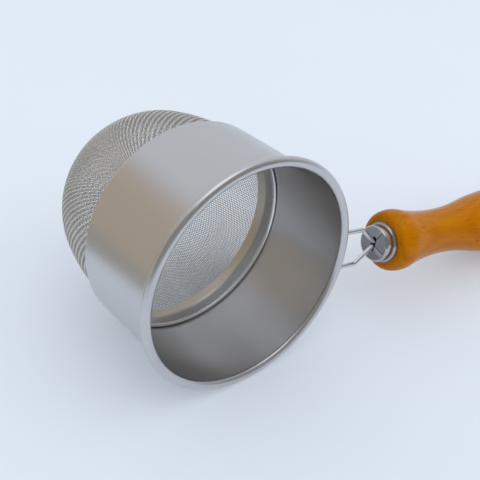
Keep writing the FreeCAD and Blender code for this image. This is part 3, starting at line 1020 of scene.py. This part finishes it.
@dataclass
class Studio:
    """A pale table, a room of soft light, one large window lamp, and the camera.

    Lengths are metres in the row frame.  In the room, turn is the angle round Z from X
    and rise the height above the horizon, both in degrees.  A pair of either says where
    a change of colour starts and ends.
    """

    eye: tuple[float, float, float] = (-0.219324, -0.224439, 0.240469)
    ahead: tuple[float, float, float] = (0.482417, 0.632182, -0.606317)
    upward: tuple[float, float, float] = (0.300091, 0.531021, 0.792441)
    lens: float = 60.864
    sensor: float = 36.0

    table_half: float = 3.0
    table_tint: Colour = (0.585, 0.6225, 0.66)
    table_glow: Colour = (0.179, 0.196, 0.220)
    table_end_middle: tuple[float, float, float] = (-0.078, -0.02, 0.001)
    table_end_turns: tuple[float, float] = (1.78, 2.90)
    shade_start: float = 0.17
    shade_end: float = 0.42
    cupboard_end: float = 4.0
    shade_tint: Colour = (0.40, 0.39, 0.35)
    cupboard_tint: Colour = (0.55, 0.465, 0.375)

    near_side_tint: Colour = (0.31, 0.298, 0.288)
    back_tint: Colour = (0.72, 0.74, 0.79)
    ceiling_tint: Colour = (1.3, 1.36, 1.45)
    even_tint: Colour = (0.95, 0.985, 1.045)
    backdrop_tint: Colour = (0.80, 0.86, 0.93)
    back_first: tuple[float, float] = (-40.0, 10.0)
    back_last: tuple[float, float] = (150.0, 178.0)
    cupboard_first: tuple[float, float] = (101.0, 110.0)
    cupboard_last: tuple[float, float] = (160.0, 172.0)
    cupboard_top: tuple[float, float] = (33.0, 41.0)
    ceiling_edge: tuple[float, float] = (58.0, 74.0)

    window_aim: tuple[float, float, float] = (-0.02, 0.0, 0.03)
    window_turn: float = -70.0
    window_rise: float = 50.0
    window_reach: float = 1.8
    window_size: tuple[float, float] = (1.6, 1.2)
    window_watts: float = 4.0
    window_tint: Colour = (0.93, 0.97, 1.0)

    def build_table(self) -> None:
        """Lay the table top under the sifter, with a faint glow that softens shadows."""
        half = self.table_half
        corners = np.array([(-half, -half, 0), (half, -half, 0), (half, half, 0),
                            (-half, half, 0)])
        material, make, shader = new_material("Pale table")
        place = make.add("TexCoord").outputs["Object"]
        tone = make.span(make.noise(place, scale=3.0, detail=3.0), 0.3, 0.7)
        darker = tuple(part * 0.97 for part in self.table_tint)
        make.feed_all(shader, {
            "Base Color": make.blend(tone, (*self.table_tint, 1), (*darker, 1)),
            "Emission Color": (*self.table_glow, 1), "Emission Strength": 1.0,
            "Roughness": 0.55, "Specular IOR Level": 0.25})
        made = smooth_mesh("table_top", corners, np.array([[0, 1, 2, 3]]), material)

    def build_table_end(self) -> None:
        """Let the table end at the back left, for reflections only.

        A shaded edge comes first, then the brown cupboard's foot.  Both are flat sheets
        just over the table that only glossy surfaces see.
        """
        middle = Vector(self.table_end_middle)
        turns = self.table_end_turns
        for name, near, far, tint in (
                ("table_edge_shade", self.shade_start, self.shade_end, self.shade_tint),
                ("cupboard_foot", self.shade_end, self.cupboard_end, self.cupboard_tint)):
            corners = [middle + reach * Vector((math.cos(turn), math.sin(turn), 0))
                       for reach, order in ((near, turns), (far, reversed(turns)))
                       for turn in order]
            material, make, shader = new_material(name)
            make.feed_all(shader, {"Base Color": (0, 0, 0, 1), "Specular IOR Level": 0.0,
                                   "Emission Color": (*tint, 1), "Emission Strength": 1.0})
            sheet = smooth_mesh(name, np.array(corners), np.array([[0, 1, 2, 3]]), material)
            sheet.visible_camera = sheet.visible_diffuse = sheet.visible_shadow = False

    def build_room(self) -> None:
        """Light from the room: a bright back, a brown cupboard, a dim near side.

        Glossy surfaces see this map.  Matt surfaces see one even light, and the camera
        sees the backdrop.
        """
        world = bpy.data.worlds.new("Soft room")
        bpy.context.scene.world = world
        world.use_nodes = True
        make = NodeBuilder(world.node_tree)
        x, y, z = make.axes(make.add("TexCoord").outputs["Generated"])
        turn = make.math("MULTIPLY", make.math("ARCTAN2", y, x), 180 / math.pi)
        rise = make.math("MULTIPLY", make.math("ARCSINE", z), 180 / math.pi)

        back = make.math("MULTIPLY", make.span(turn, *self.back_first),
                         make.span(turn, *self.back_last, 1.0, 0.0))
        colour = make.blend(back, (*self.near_side_tint, 1), (*self.back_tint, 1))
        brown = make.math("MULTIPLY", make.span(turn, *self.cupboard_first),
                          make.span(turn, *self.cupboard_last, 1.0, 0.0))
        brown = make.math("MULTIPLY", brown, make.span(rise, *self.cupboard_top, 1.0, 0.0))
        colour = make.blend(brown, colour, (*self.cupboard_tint, 1))
        ceiling = make.span(rise, *self.ceiling_edge)
        colour = make.blend(ceiling, colour, (*self.ceiling_tint, 1))
        path = make.add("LightPath").outputs
        colour = make.blend(path["Is Diffuse Ray"], colour, (*self.even_tint, 1))
        colour = make.blend(path["Is Camera Ray"], colour, (*self.backdrop_tint, 1))
        make.feed(world.node_tree.nodes["Background"].inputs["Color"], colour)

    def build_window(self) -> None:
        """Hang the window lamp high in front of the table."""
        data = bpy.data.lights.new("window", "AREA")
        data.shape = "RECTANGLE"
        data.size, data.size_y = self.window_size
        data.energy = self.window_watts
        data.color = self.window_tint
        lamp = bpy.data.objects.new("window", data)
        aim = Vector(self.window_aim)
        turn, rise = math.radians(self.window_turn), math.radians(self.window_rise)
        lamp.location = aim + self.window_reach * Vector((
            math.cos(turn) * math.cos(rise), math.sin(turn) * math.cos(rise), math.sin(rise)))
        lamp.rotation_euler = (aim - lamp.location).to_track_quat("-Z", "Y").to_euler()
        lamp.visible_glossy = False
        bpy.context.scene.collection.objects.link(lamp)

    def build_camera(self) -> None:
        """Stand the camera at the front left, looking down on the mouth."""
        data = bpy.data.cameras.new("camera")
        data.lens = self.lens
        data.sensor_width = self.sensor
        data.clip_start, data.clip_end = 0.01, 20.0
        camera = bpy.data.objects.new("camera", data)
        ahead = Vector(self.ahead).normalized()
        right = ahead.cross(Vector(self.upward)).normalized()
        turn = Matrix((right, right.cross(ahead), -ahead)).transposed()
        camera.matrix_world = Matrix.Translation(self.eye) @ turn.to_4x4()
        bpy.context.scene.collection.objects.link(camera)
        bpy.context.scene.camera = camera

    def build(self) -> None:
        """Set up the table, the light and the camera."""
        self.build_table()
        self.build_table_end()
        self.build_room()
        self.build_window()
        self.build_camera()
        bpy.context.scene.view_settings.view_transform = "Standard"


# ---------------------------------------------------------------- the sifter


@dataclass
class Sifter:
    """The whole sifter around the CAD frame."""

    frame: dict
    effects: EffectLibrary
    bowl: WovenBowl = field(default_factory=WovenBowl)

    def mount(self, name: str) -> tuple[Vector, Vector]:
        """Place and axis of one of the record's mounts.

        Args:
            name: The mount's name.

        Returns:
            Its place in metres and its unit axis.
        """
        found = next(m for m in self.frame["record"]["mounts"] if m["name"] == name)
        return Vector(found["pos_m"]), Vector(found["axis"]).normalized()

    def drum_frame(self) -> WorkFrame:
        """The drum's own frame.

        Returns:
            The frame, with Z from the mouth down into the bowl and X to the handle.
        """
        mouth, out = self.mount("mouth")
        grip = self.mount("grip")[1]
        across = (grip - out * grip.dot(out)).normalized()
        return WorkFrame(mouth, across, -out)

    def handle_frame(self) -> WorkFrame:
        """The handle's own frame.

        Returns:
            The frame, with Z along the grain and X out of the drum's mouth.
        """
        grip, along = self.mount("grip")
        out = self.mount("mouth")[1]
        across = (out - along * out.dot(along)).normalized()
        return WorkFrame(grip, across, along)

    def build(self) -> None:
        """Dress the CAD nodes and weave the bowl."""
        drum, handle = self.drum_frame(), self.handle_frame()
        frames = {Role.DRUM: drum, Role.RING: drum, Role.WIRE: handle, Role.CLOTH: drum,
                  Role.CAP: handle, Role.WOOD: handle, Role.RESIN: handle}
        finishes = {role: FINISHES[role].build(self.effects, frames[role]) for role in Role}
        slots = {part["node"]: part["material_slot"]
                 for part in self.frame["record"]["subparts"]}
        for name, node in self.frame["nodes"].items():
            node.data.materials.clear()
            node.data.materials.append(finishes[Role(slots[name])])
            log.info("%s: %d faces, %s", name, len(node.data.polygons), slots[name])
        for piece in self.bowl.build(drum, finishes[Role.CLOTH]):
            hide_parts("mesh_bowl")
            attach(piece, "root")
            log.info("%s: %d faces", piece.name, len(piece.data.polygons))


def main() -> None:
    """Load the frame, dress the sifter and set up the studio."""
    logging.basicConfig(level=logging.INFO, format="%(name)s: %(message)s")
    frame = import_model()
    Sifter(frame, EffectLibrary()).build()
    Studio().build()
    bpy.context.view_layer.update()


if __name__ == "__main__":
    main()
